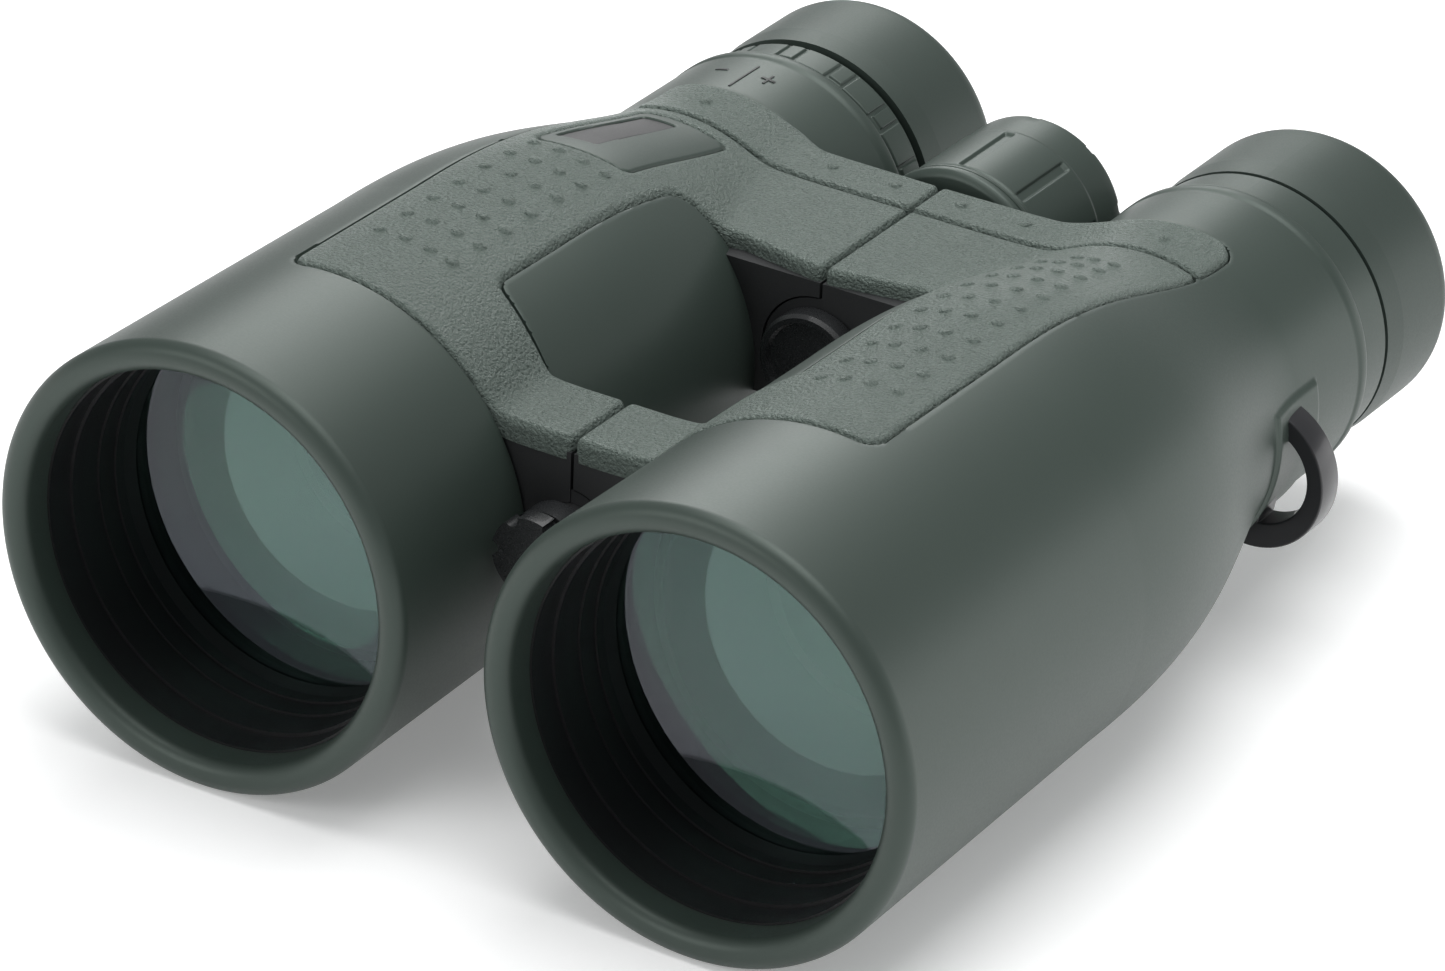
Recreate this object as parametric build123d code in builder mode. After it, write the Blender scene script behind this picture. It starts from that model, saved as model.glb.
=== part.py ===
from build123d import *
import os
from math import copysign, sqrt

# Large roof-prism binoculars with two rubber-covered barrels on an open double bridge.
# Stations are distances behind the objective rims; rises are heights above the optical axes.
# The origin lies under the middle of the binoculars, on the surface they rest on:
# X runs across (the user's left barrel is at +X), Y towards the eyepieces, Z up.

os.makedirs("parts", exist_ok=True)

# ---- Driving dimensions, millimetres and degrees ----
OVERALL_LENGTH = 182.6
OBJECTIVE_SPACING = 83.0
EYEPIECE_SPACING = 80.0
BARREL_RADIUS = 35.0
WAIST_RADIUS = 33.9
REAR_RADIUS = 23.9
CLEAR_RADIUS = 28.0
LIP_RADIUS = 2.35
ARMOUR = 2.2
WALL = 1.8
HINGE_RISE = 5.4
BRIDGE_TOP = 20.0
WHEEL_RADIUS = 14.9
EYECUP_RADIUS = 22.9
EYECUP_LENGTH = 20.8
RUNNING_FIT = 0.05
GAP = 0.3

# ---- Stations along the barrels ----
TAPER_START = 66.0
TAPER_END = 132.0
BARREL_END = 153.0
FRONT_BRIDGE = (33.3, 47.9)
REAR_BRIDGE = (100.0, 134.3)
PAD_START = 33.2
PAD_END = 125.0
COVER_END = 137.0
PAD_EDGE = 49.0
PANEL_EDGE = 25.2

# ---- Derived sizes ----
FRONT_Y = -OVERALL_LENGTH / 2
AXIS_Z = BARREL_RADIUS
SKIN_TOP = BRIDGE_TOP - HINGE_RISE
SKIN_GAP = RUNNING_FIT
OBJECTIVE_X = OBJECTIVE_SPACING / 2
EYEPIECE_X = EYEPIECE_SPACING / 2
LENS_RADIUS = CLEAR_RADIUS + 1.0
EYECUP_START = OVERALL_LENGTH - EYECUP_LENGTH
LUG_START = 126.4
LUG_DEPTH = 5.0
LUG_TOP = 4.9
LUG_BOTTOM = -18.2

# Each zone of the hinge belongs to one barrel's knuckle: -1 right, 1 left, 0 the focus carriage.
SIDES = ((-1, "right"), (1, "left"))
CARRIAGE_BAY = (104.2, 119.8)
FRONT_ZONES = ((FRONT_BRIDGE[0], 40.6, -1), (40.6, FRONT_BRIDGE[1], 1))
REAR_ZONES = (
    (REAR_BRIDGE[0], CARRIAGE_BAY[0], 1),
    (*CARRIAGE_BAY, 0),
    (CARRIAGE_BAY[1], 127.0, -1),
    (127.0, REAR_BRIDGE[1], 1),
)
WINDOW_WIDTH = 17.0
WINDOW_HEIGHT = 6.4
WINDOW_MARGIN = 0.6
FRONT_KNUCKLE = 6.4
REAR_KNUCKLE = 9.6
FRONT_PIN = 4.4
REAR_TUBE = 4.5
SEAM = 0.25


def smooth(t):
    """S-curve from 0 to 1."""
    t = min(max(t, 0.0), 1.0)
    return t * t * (3 - 2 * t)


def barrel_radius(station):
    """Outer radius of the rubber skin: a slight cone, then an S-shaped taper to the eyepiece."""
    cone = BARREL_RADIUS - (BARREL_RADIUS - WAIST_RADIUS) * min(station, TAPER_START) / TAPER_START
    along = max(station - TAPER_START, 0.0) / (TAPER_END - TAPER_START)
    return cone - (WAIST_RADIUS - REAR_RADIUS) * smooth(along**1.4)


def barrel_x(station):
    """Distance of the barrel's axis from the middle plane, which closes in at the rear."""
    shift_start = 92.0
    along = (station - shift_start) / (TAPER_END - shift_start)
    return OBJECTIVE_X - (OBJECTIVE_X - EYEPIECE_X) * smooth(along)


def cross_plane(x, station, rise=0.0):
    """Plane square to the barrels, X to the right and Z up; a negative extrusion runs rearwards."""
    return Plane(origin=(x, FRONT_Y + station, AXIS_Z + rise), x_dir=(1, 0, 0), z_dir=(0, -1, 0))


def turning_plane(x, rise=0.0):
    """Plane through a fore-and-aft axis: local X is the station, local Y the radius."""
    return Plane(origin=(x, FRONT_Y, AXIS_Z + rise), x_dir=(0, 1, 0), z_dir=(1, 0, 0))


def turning_axis(x, rise=0.0):
    """Fore-and-aft axis at a distance x from the middle plane."""
    return Axis((x, FRONT_Y, AXIS_Z + rise), (0, 1, 0))


def plan_plane(rise=0.0):
    """Level plane whose local X runs across and local Y is the station."""
    return Plane(origin=(0, FRONT_Y, AXIS_Z + rise), x_dir=(1, 0, 0), z_dir=(0, 0, 1))


def half_section(x, points, rise=0.0):
    """Closed outline of (station, radius) points, to be turned about a fore-and-aft axis."""
    with BuildSketch(turning_plane(x, rise)) as section:
        Polygon(*points)
    return section.sketch


def tube_section(x, first, last, inner, outer, rise=0.0):
    """Half section of a plain ring between two stations."""
    return half_section(x, [(first, inner), (last, inner), (last, outer), (first, outer)], rise)


def halfway_station(vertex, edge, radius):
    """Station of a spherical face at half its radius, from those of its middle and its edge."""
    depth = edge - vertex
    sphere = (radius**2 + depth**2) / (2 * depth)
    return vertex + sphere - copysign(sqrt(sphere**2 - (radius / 2) ** 2), sphere)


def lens_section(x, radius, front, rear):
    """Half section of a lens; front and rear are (vertex, edge) stations of its two faces."""
    with BuildSketch(turning_plane(x)) as section:
        with BuildLine():
            ThreePointArc((front[0], 0), (halfway_station(*front, radius), radius / 2), (front[1], radius))
            Line((front[1], radius), (rear[1], radius))
            ThreePointArc((rear[1], radius), (halfway_station(*rear, radius), radius / 2), (rear[0], 0))
            Line((rear[0], 0), (front[0], 0))
        make_face()
    return section.sketch


def slab(first, last):
    """Wide block between two stations, for trimming."""
    reach = 120.0
    with BuildPart() as block:
        with BuildSketch(cross_plane(0, first)):
            Rectangle(2 * reach, 2 * reach)
        extrude(amount=first - last)
    return block.part


def barrel_form(side, inset, first, last):
    """Solid barrel shape between two stations, its surface set in from the rubber's outside."""
    lofts = 6
    step = (TAPER_END - TAPER_START) / lofts
    with BuildPart() as form:
        with BuildSketch(cross_plane(side * OBJECTIVE_X, 0)):
            Circle(BARREL_RADIUS - inset)
        with BuildSketch(cross_plane(side * OBJECTIVE_X, TAPER_START)):
            Circle(WAIST_RADIUS - inset)
        loft(ruled=True)
        for index in range(lofts + 1):
            station = TAPER_START + index * step
            with BuildSketch(cross_plane(side * barrel_x(station), station)):
                Circle(barrel_radius(station) - inset)
        loft()
        with BuildSketch(cross_plane(side * EYEPIECE_X, TAPER_END)):
            Circle(REAR_RADIUS - inset)
        extrude(amount=TAPER_END - OVERALL_LENGTH)
        add(slab(first, last), mode=Mode.INTERSECT)
    return form.part


def arm_form(side, inset, grow=0.0):
    """One barrel's half of both bridges, with its top set in from the rubber's outside."""
    underside = -8.5 - grow
    top = SKIN_TOP - inset + grow
    outline = [(SEAM, top), (SEAM, 0), (5.5, underside), (30.0, underside), (30.0, top)]
    with BuildPart() as arms:
        for first, last in (FRONT_BRIDGE, REAR_BRIDGE):
            with BuildSketch(cross_plane(0, first - grow, HINGE_RISE)):
                Polygon(*[(side * x, z) for x, z in outline])
            extrude(amount=first - last - 2 * grow)
    return arms.part


def plan_prism(side, outline, corner):
    """Upright prism over an outline of (distance from the middle, station) points."""
    lowest = 17.0
    height = 25.0
    with BuildPart() as prism:
        with BuildSketch(plan_plane(lowest)) as plan:
            Polygon(*[(side * x, station) for x, station in outline])
            fillet(plan.vertices(), corner)
        extrude(amount=height)
    return prism.part


def skin_region(side, outline, inset=0.0, corner=1.0):
    """Piece of the rubber skin's thickness that lies under an outline drawn from above."""
    with BuildPart() as region:
        add(barrel_form(side, inset, 0, BARREL_END))
        add(arm_form(side, inset))
        add(barrel_form(side, ARMOUR, 0, BARREL_END), mode=Mode.SUBTRACT)
        add(arm_form(side, ARMOUR), mode=Mode.SUBTRACT)
        add(plan_prism(side, outline, corner), mode=Mode.INTERSECT)
    return region.part


# Outlines seen from above, as (distance from the middle plane, station)
PAST_SEAM = -3.0
PAD_OUTLINE = [
    (PAD_EDGE, PAD_START),
    (PAD_EDGE, PAD_END - GAP / 2),
    (PAST_SEAM, PAD_END - GAP / 2),
    (PAST_SEAM, REAR_BRIDGE[0]),
    (15.0, 102.5),
    (PANEL_EDGE, 100.0),
    (PANEL_EDGE, 51.5),
    (13.0, FRONT_BRIDGE[1]),
    (PAST_SEAM, FRONT_BRIDGE[1]),
    (PAST_SEAM, PAD_START),
]
COVER_OUTLINE = [
    (PAD_EDGE, PAD_END + GAP / 2),
    (PAD_EDGE, COVER_END),
    (26.0, COVER_END),
    (21.0, REAR_BRIDGE[1] + GAP),
    (PAST_SEAM, REAR_BRIDGE[1] + GAP),
    (PAST_SEAM, PAD_END + GAP / 2),
]
PLATE_OUTLINE = [(45.0, 92.0), (45.0, 121.0), (30.3, 121.0), (30.3, 92.0)]
BADGE_OUTLINE = [(43.6, 94.5), (43.6, 118.5), (37.8, 118.5), (37.8, 96.0)]


# ---- Pieces that each barrel has ----
for side, tag in SIDES:
    objective_x = side * OBJECTIVE_X
    eyepiece_x = side * EYEPIECE_X
    objective_axis = turning_axis(objective_x)
    eyepiece_axis = turning_axis(eyepiece_x)
    hinge_axis = turning_axis(0, HINGE_RISE)
    pad_window = plan_prism(side, PAD_OUTLINE, 1.0)
    cover_window = plan_prism(side, COVER_OUTLINE, 1.0)

    # Cast chassis tube that carries everything on its barrel
    casting_skin = ARMOUR + SKIN_GAP
    chassis_first = 5.0
    chassis_last = 152.0
    with BuildPart() as chassis:
        add(barrel_form(side, casting_skin, chassis_first, chassis_last))
        add(barrel_form(side, ARMOUR + WALL, chassis_first - 1, chassis_last + 1), mode=Mode.SUBTRACT)
        # Window that lets the focus arm reach the carriage
        with BuildSketch(cross_plane(side * WINDOW_WIDTH, CARRIAGE_BAY[0] + WINDOW_MARGIN, HINGE_RISE)):
            Rectangle(WINDOW_WIDTH, WINDOW_HEIGHT)
        extrude(amount=-(CARRIAGE_BAY[1] - CARRIAGE_BAY[0] - 2 * WINDOW_MARGIN), mode=Mode.SUBTRACT)
    chassis.part.label = f"chassis_{tag}"
    export_step(chassis.part, f"parts/chassis_{tag}.step")

    # Cast bridge arms on the inner side of the tube, ending in this barrel's hinge knuckles
    for place, (first, last), zones, knuckle, pin in (
        ("front", FRONT_BRIDGE, FRONT_ZONES, FRONT_KNUCKLE, FRONT_PIN),
        ("rear", REAR_BRIDGE, REAR_ZONES, REAR_KNUCKLE, REAR_TUBE),
    ):
        with BuildPart() as bridge:
            add(arm_form(side, casting_skin))
            add(slab(first, last), mode=Mode.INTERSECT)
            for start, end, owner in zones:
                if owner == side:
                    revolve(
                        tube_section(0, start + GAP / 2, end - GAP / 2, 0, knuckle, HINGE_RISE),
                        axis=hinge_axis,
                    )
                else:
                    revolve(
                        tube_section(0, start, end, 0, knuckle + GAP, HINGE_RISE),
                        axis=hinge_axis,
                        mode=Mode.SUBTRACT,
                    )
            # Bore for the hinge pin
            revolve(
                tube_section(0, first - 1, last + 1, 0, pin + RUNNING_FIT, HINGE_RISE),
                axis=hinge_axis,
                mode=Mode.SUBTRACT,
            )
            add(barrel_form(side, casting_skin, first - 1, last + 1), mode=Mode.SUBTRACT)
            with BuildSketch(cross_plane(side * WINDOW_WIDTH, CARRIAGE_BAY[0] + WINDOW_MARGIN, HINGE_RISE)):
                Rectangle(WINDOW_WIDTH, WINDOW_HEIGHT)
            extrude(amount=-(CARRIAGE_BAY[1] - CARRIAGE_BAY[0] - 2 * WINDOW_MARGIN), mode=Mode.SUBTRACT)
        bridge.part.label = f"{place}_bridge_{tag}"
        export_step(bridge.part, f"parts/{place}_bridge_{tag}.step")

    # Rubber armour: a smooth skin with a rolled lip at the objective end
    lip_inner = BARREL_RADIUS - 2 * LIP_RADIUS
    with BuildPart() as armour:
        add(barrel_form(side, 0, LIP_RADIUS, BARREL_END))
        add(barrel_form(side, ARMOUR, chassis_first, OVERALL_LENGTH), mode=Mode.SUBTRACT)
        revolve(tube_section(objective_x, 0, chassis_first, 0, lip_inner), axis=objective_axis,
                mode=Mode.SUBTRACT)
        with BuildSketch(turning_plane(objective_x)):
            with Locations((LIP_RADIUS, BARREL_RADIUS - LIP_RADIUS)):
                Circle(LIP_RADIUS)
        revolve(axis=objective_axis)
        add(pad_window, mode=Mode.SUBTRACT)
        add(cover_window, mode=Mode.SUBTRACT)
        add(arm_form(side, 0, SKIN_GAP), mode=Mode.SUBTRACT)
        # Pocket for the strap lug
        with BuildSketch(cross_plane(side * 62.0, LUG_START - 0.2, (LUG_TOP + LUG_BOTTOM) / 2)):
            Rectangle(16.0, LUG_TOP - LUG_BOTTOM + 0.5)
        extrude(amount=-(LUG_DEPTH + 0.6), mode=Mode.SUBTRACT)
    armour.part.label = f"armour_{tag}"
    export_step(armour.part, f"parts/armour_{tag}.step")

    # Textured grip pad, moulded over the top of the barrel and both bridge arms
    with BuildPart() as grip_pad:
        add(skin_region(side, PAD_OUTLINE, SKIN_GAP))
        if tag == "right":
            add(plan_prism(side, PLATE_OUTLINE, 0.8), mode=Mode.SUBTRACT)
    grip_pad.part.label = f"grip_pad_{tag}"
    export_step(grip_pad.part, f"parts/grip_pad_{tag}.step")

    # Textured strip that closes the rear of the bridge
    with BuildPart() as rear_cover:
        add(skin_region(side, COVER_OUTLINE, SKIN_GAP))
    rear_cover.part.label = f"rear_cover_{tag}"
    export_step(rear_cover.part, f"parts/rear_cover_{tag}.step")

    # Objective cell: stepped black tube that screws into the chassis and seats the lenses
    cell_outer = BARREL_RADIUS - ARMOUR - WALL - 0.75
    with BuildPart() as objective_cell:
        revolve(
            half_section(
                objective_x,
                [
                    (6.0, 29.9), (11.0, 29.9), (11.0, 29.4), (17.0, 29.4), (17.0, LENS_RADIUS + RUNNING_FIT),
                    (36.0, LENS_RADIUS + RUNNING_FIT), (36.0, CLEAR_RADIUS - 0.5), (38.0, CLEAR_RADIUS - 0.5),
                    (38.0, cell_outer), (16.6, cell_outer), (16.6, cell_outer - 0.5), (14.0, cell_outer - 0.5),
                    (14.0, cell_outer), (6.0, cell_outer),
                ],
            ),
            axis=objective_axis,
        )
    objective_cell.part.label = f"objective_cell_{tag}"
    export_step(objective_cell.part, f"parts/objective_cell_{tag}.step")

    # Rubber seal ring in the groove around the cell
    with BuildPart() as objective_seal:
        revolve(tube_section(objective_x, 14.1, 16.5, cell_outer - 0.45, cell_outer + 0.3), axis=objective_axis)
    objective_seal.part.label = f"objective_seal_{tag}"
    export_step(objective_seal.part, f"parts/objective_seal_{tag}.step")

    # Threaded ring that clamps the objective lenses
    with BuildPart() as retaining_ring:
        revolve(
            half_section(
                objective_x,
                [(20.5, 28.6), (22.5, 28.6), (24.6, CLEAR_RADIUS), (24.9, LENS_RADIUS), (20.5, LENS_RADIUS)],
            ),
            axis=objective_axis,
        )
    retaining_ring.part.label = f"retaining_ring_{tag}"
    export_step(retaining_ring.part, f"parts/retaining_ring_{tag}.step")

    # Front element of the objective: a double-convex lens
    with BuildPart() as front_lens:
        revolve(lens_section(objective_x, LENS_RADIUS, (21.4, 25.0), (31.4, 28.2)), axis=objective_axis)
    front_lens.part.label = f"front_lens_{tag}"
    export_step(front_lens.part, f"parts/front_lens_{tag}.step")

    # Second element of the objective: a meniscus behind the first
    with BuildPart() as second_lens:
        revolve(lens_section(objective_x, LENS_RADIUS, (31.8, 28.6), (35.9, 33.6)), axis=objective_axis)
    second_lens.part.label = f"second_lens_{tag}"
    export_step(second_lens.part, f"parts/second_lens_{tag}.step")

    # Prism cage: a guide tube for the focusing lens, a flange in the chassis and two side plates
    guide_bore = 17.05
    guide_outer = 19.0
    flange_radius = 29.5
    rod_offset = 20.0
    with BuildPart() as prism_cage:
        revolve(tube_section(objective_x, 50.0, 73.0, guide_bore, guide_outer), axis=objective_axis)
        revolve(tube_section(objective_x, 70.0, 73.0, 14.0, flange_radius), axis=objective_axis)
        with BuildSketch(cross_plane(objective_x, 73.0)):
            with Locations((-14.8, 0), (14.8, 0)):
                Rectangle(2.0, 24.0)
        extrude(amount=-32.0)
        # Slot and hole for the arm and rod of the focusing lens
        with BuildSketch(cross_plane(objective_x - side * 18.0, 49.0, HINGE_RISE)):
            Rectangle(8.0, 4.4)
        extrude(amount=-17.0, mode=Mode.SUBTRACT)
        with BuildSketch(cross_plane(objective_x - side * rod_offset, 49.0, HINGE_RISE)):
            Circle(2.1)
        extrude(amount=-25.0, mode=Mode.SUBTRACT)
    prism_cage.part.label = f"prism_cage_{tag}"
    export_step(prism_cage.part, f"parts/prism_cage_{tag}.step")

    # First prism: the half-penta block that folds the light path
    prism_width = 26.0
    prism_rise = 12.0
    prism_plane = Plane(
        origin=(objective_x - prism_width / 2, FRONT_Y, AXIS_Z), x_dir=(0, 1, 0), z_dir=(1, 0, 0)
    )
    with BuildPart() as first_prism:
        with BuildSketch(prism_plane):
            Polygon((74.5, -prism_rise), (74.5, prism_rise), (86.0, prism_rise), (86.0, 5.0), (80.0, -prism_rise))
        extrude(amount=prism_width)
    first_prism.part.label = f"first_prism_{tag}"
    export_step(first_prism.part, f"parts/first_prism_{tag}.step")

    # Second prism, with the roof edge that turns the image upright
    with BuildPart() as roof_prism:
        with BuildSketch(prism_plane):
            Polygon((86.8, -prism_rise), (86.8, prism_rise), (92.0, prism_rise), (104.0, 0.0), (92.0, -prism_rise))
        extrude(amount=prism_width)
    roof_prism.part.label = f"roof_prism_{tag}"
    export_step(roof_prism.part, f"parts/roof_prism_{tag}.step")

    # Focusing lens cell: a sliding ring with a rod and a finger that ends in the carriage groove
    with BuildPart() as focus_cell:
        revolve(tube_section(objective_x, 56.0, 63.0, 15.0, guide_bore - RUNNING_FIT), axis=objective_axis)
        with BuildSketch(cross_plane(objective_x - side * 18.4, 58.0, HINGE_RISE)):
            Rectangle(5.6, 3.0)
        extrude(amount=-3.0)
        with BuildSketch(cross_plane(objective_x - side * rod_offset, 58.0, HINGE_RISE)):
            Circle(1.5)
        extrude(amount=-56.0)
        with BuildSketch(cross_plane(side * 15.1, 110.0, HINGE_RISE)):
            Rectangle(15.6, 4.0)
        extrude(amount=-4.0)
        revolve(tube_section(objective_x, 55.9, 63.1, 0, 15.0), axis=objective_axis, mode=Mode.SUBTRACT)
    focus_cell.part.label = f"focus_cell_{tag}"
    export_step(focus_cell.part, f"parts/focus_cell_{tag}.step")

    # Focusing lens: a double-concave element held in its sliding cell
    with BuildPart() as focus_lens:
        revolve(lens_section(objective_x, 14.95, (58.9, 57.4), (60.6, 62.0)), axis=objective_axis)
    focus_lens.part.label = f"focus_lens_{tag}"
    export_step(focus_lens.part, f"parts/focus_lens_{tag}.step")

    # Eyepiece housing: the tube that carries the eye lenses, the ring and the eyecup sleeve
    housing_neck = 18.0
    with BuildPart() as eyepiece_housing:
        revolve(
            half_section(
                eyepiece_x,
                [
                    (134.0, 12.0), (152.0, 12.0), (152.0, 15.2), (162.0, 15.2), (162.0, 13.0), (175.0, 13.0),
                    (175.0, housing_neck), (152.9, housing_neck), (152.9, 19.6), (134.0, 19.6),
                ],
            ),
            axis=eyepiece_axis,
        )
    eyepiece_housing.part.label = f"eyepiece_housing_{tag}"
    export_step(eyepiece_housing.part, f"parts/eyepiece_housing_{tag}.step")

    # Field lens: the first element of the eyepiece
    with BuildPart() as field_lens:
        revolve(lens_section(eyepiece_x, 11.95, (140.0, 142.0), (147.0, 145.0)), axis=eyepiece_axis)
    field_lens.part.label = f"field_lens_{tag}"
    export_step(field_lens.part, f"parts/field_lens_{tag}.step")

    # Eye lens: the element nearest the eye
    with BuildPart() as eye_lens:
        revolve(lens_section(eyepiece_x, 12.95, (165.0, 167.0), (173.6, 171.4)), axis=eyepiece_axis)
    eye_lens.part.label = f"eye_lens_{tag}"
    export_step(eye_lens.part, f"parts/eye_lens_{tag}.step")

    # Cam sleeve that turns on the housing and lifts the eyecup
    sleeve_outer = 19.6
    with BuildPart() as eyecup_sleeve:
        revolve(
            tube_section(eyepiece_x, EYECUP_START + 1.0, 176.0, housing_neck + RUNNING_FIT, sleeve_outer),
            axis=eyepiece_axis,
        )
    eyecup_sleeve.part.label = f"eyecup_sleeve_{tag}"
    export_step(eyecup_sleeve.part, f"parts/eyecup_sleeve_{tag}.step")

    # Rubber eyecup, with a rounded rim around the hollow for the eye
    cup_bore = sleeve_outer + RUNNING_FIT
    rim_round = 4.0
    with BuildPart() as eyecup:
        revolve(
            half_section(
                eyepiece_x,
                [
                    (EYECUP_START, cup_bore), (OVERALL_LENGTH - 5.0, cup_bore), (OVERALL_LENGTH - 3.2, 16.0),
                    (OVERALL_LENGTH, 16.8), (OVERALL_LENGTH, EYECUP_RADIUS), (EYECUP_START + 4.4, EYECUP_RADIUS),
                    (EYECUP_START, EYECUP_RADIUS - 0.3),
                ],
            ),
            axis=eyepiece_axis,
        )
        widest_edges = eyecup.edges().filter_by(GeomType.CIRCLE).group_by(SortBy.RADIUS)[-1]
        fillet(widest_edges.sort_by(Axis.Y)[-1], rim_round)
    eyecup.part.label = f"eyecup_{tag}"
    export_step(eyecup.part, f"parts/eyecup_{tag}.step")

    # Strap lug: a glossy plastic loop whose slot takes the strap
    with BuildPart() as strap_lug:
        with BuildSketch(cross_plane(0, LUG_START)):
            with BuildLine():
                ThreePointArc((side * 58.0, LUG_TOP), (side * 71.2, -5.2), (side * 56.0, LUG_BOTTOM))
                Line((side * 56.0, LUG_BOTTOM), (side * 58.0, LUG_TOP))
            make_face()
            with BuildLine():
                ThreePointArc((side * 63.6, 1.0), (side * 68.5, -5.6), (side * 61.0, -14.4))
                Line((side * 61.0, -14.4), (side * 63.6, 1.0))
            make_face(mode=Mode.SUBTRACT)
        extrude(amount=-LUG_DEPTH)
        add(barrel_form(side, casting_skin, 120.0, 140.0), mode=Mode.SUBTRACT)
    strap_lug.part.label = f"strap_lug_{tag}"
    export_step(strap_lug.part, f"parts/strap_lug_{tag}.step")


# ---- Rings between the eyepieces and their eyecups ----
RING_START = 153.3
RING_END = 161.5
RING_RADIUS = 22.5
for side, name in ((-1, "dioptre_ring"), (1, "eyepiece_ring")):
    # Rubber-faced ring; the right one turns to set the dioptre, the left one is fixed
    with BuildPart() as ring:
        revolve(
            tube_section(side * EYEPIECE_X, RING_START, RING_END, housing_neck + RUNNING_FIT, RING_RADIUS),
            axis=turning_axis(side * EYEPIECE_X),
        )
        chamfer(ring.edges().filter_by(GeomType.CIRCLE).sort_by(SortBy.RADIUS)[-2:], 0.4)
    ring.part.label = name
    export_step(ring.part, f"parts/{name}.step")


# ---- Blank plate and badge on top of the right barrel ----
with BuildPart() as name_plate:
    add(skin_region(-1, PLATE_OUTLINE, 0.3, 0.8))
    add(plan_prism(-1, BADGE_OUTLINE, 0.3), mode=Mode.SUBTRACT)
name_plate.part.label = "name_plate"
export_step(name_plate.part, "parts/name_plate.step")

# Plain black badge, let into the plate
with BuildPart() as badge:
    add(skin_region(-1, BADGE_OUTLINE, 0.5, 0.3))
badge.part.label = "badge"
export_step(badge.part, "parts/badge.step")


# ---- Centre: hinge, tripod socket and focus drive ----
centre_axis = turning_axis(0, HINGE_RISE)
THREAD_RADIUS = 3.175
THREAD_DEPTH = 10.0
PIN_START = 30.8

# Front hinge pin, with the tripod thread in its nose and a head behind the bridge
with BuildPart() as front_hinge_pin:
    revolve(
        half_section(
            0,
            [
                (PIN_START, THREAD_RADIUS), (PIN_START + THREAD_DEPTH, THREAD_RADIUS),
                (PIN_START + THREAD_DEPTH, 0), (50.0, 0), (50.0, FRONT_KNUCKLE - 0.4),
                (FRONT_BRIDGE[1] + GAP, FRONT_KNUCKLE - 0.4), (FRONT_BRIDGE[1] + GAP, FRONT_PIN),
                (PIN_START, FRONT_PIN),
            ],
            HINGE_RISE,
        ),
        axis=centre_axis,
    )
front_hinge_pin.part.label = "front_hinge_pin"
export_step(front_hinge_pin.part, "parts/front_hinge_pin.step")

# Cap that screws over the nose of the front hinge pin and covers the tripod thread
CAP_RADIUS = 6.3
with BuildPart() as tripod_cap:
    revolve(
        half_section(
            0,
            [
                (22.6, 0), (30.4, 0), (30.4, 5.9), (26.4, 5.9), (26.4, 5.2), (25.6, 5.2), (25.6, CAP_RADIUS),
                (22.6, CAP_RADIUS),
            ],
            HINGE_RISE,
        ),
        axis=centre_axis,
    )
    with BuildSketch(cross_plane(0, 22.6, HINGE_RISE)):
        with PolarLocations(CAP_RADIUS, 6):
            Circle(1.1)
    extrude(amount=-3.0, mode=Mode.SUBTRACT)
tripod_cap.part.label = "tripod_cap"
export_step(tripod_cap.part, "parts/tripod_cap.step")

# Rear hinge tube: axle of the rear knuckles and of the focus wheel, slotted for the carriage key
TUBE_START = 97.4
TUBE_END = 150.0
SLOT = (104.8, 119.2)
with BuildPart() as rear_hinge_tube:
    revolve(tube_section(0, TUBE_START, TUBE_END, 2.6, REAR_TUBE, HINGE_RISE), axis=centre_axis)
    with BuildSketch(cross_plane(0, SLOT[0], HINGE_RISE)):
        Rectangle(5.4, 20.0)
    extrude(amount=SLOT[0] - SLOT[1], mode=Mode.SUBTRACT)
rear_hinge_tube.part.label = "rear_hinge_tube"
export_step(rear_hinge_tube.part, "parts/rear_hinge_tube.step")

# Dished cap on the front end of the rear hinge tube
with BuildPart() as hinge_cap:
    revolve(
        half_section(
            0,
            [
                (97.2, 0), (97.2, 6.6), (96.4, 7.0), (96.4, 7.8), (97.0, 8.3), (99.7, 8.3), (99.7, REAR_TUBE),
                (TUBE_START, REAR_TUBE), (TUBE_START, 0),
            ],
            HINGE_RISE,
        ),
        axis=centre_axis,
    )
hinge_cap.part.label = "hinge_cap"
export_step(hinge_cap.part, "parts/hinge_cap.step")

# Drum around the focus carriage, with a window on each side for the fingers
with BuildPart() as carriage_drum:
    revolve(
        half_section(
            0,
            [
                (104.3, REAR_TUBE), (105.0, REAR_TUBE), (105.0, 9.3), (119.0, 9.3), (119.0, REAR_TUBE),
                (119.7, REAR_TUBE), (119.7, 9.7), (104.3, 9.7),
            ],
            HINGE_RISE,
        ),
        axis=centre_axis,
    )
    with BuildSketch(cross_plane(0, 105.2, HINGE_RISE)):
        with Locations((0, -2.0)):
            Rectangle(24.0, 9.6)
        Rectangle(14.0, 24.0, mode=Mode.SUBTRACT)
    extrude(amount=-13.6, mode=Mode.SUBTRACT)
carriage_drum.part.label = "carriage_drum"
export_step(carriage_drum.part, "parts/carriage_drum.step")

# Focus carriage: a grooved spool on the hinge tube, with a key across to the focus screw
with BuildPart() as focus_carriage:
    revolve(
        half_section(
            0,
            [
                (108.4, REAR_TUBE + RUNNING_FIT), (115.6, REAR_TUBE + RUNNING_FIT), (115.6, 8.9), (114.3, 8.9),
                (114.3, 6.3), (109.7, 6.3), (109.7, 8.9), (108.4, 8.9),
            ],
            HINGE_RISE,
        ),
        axis=centre_axis,
    )
    with BuildSketch(cross_plane(0, 110.0, HINGE_RISE)):
        Rectangle(5.0, 10.4)
        Circle(1.55, mode=Mode.SUBTRACT)
    extrude(amount=-4.0)
focus_carriage.part.label = "focus_carriage"
export_step(focus_carriage.part, "parts/focus_carriage.step")

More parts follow.
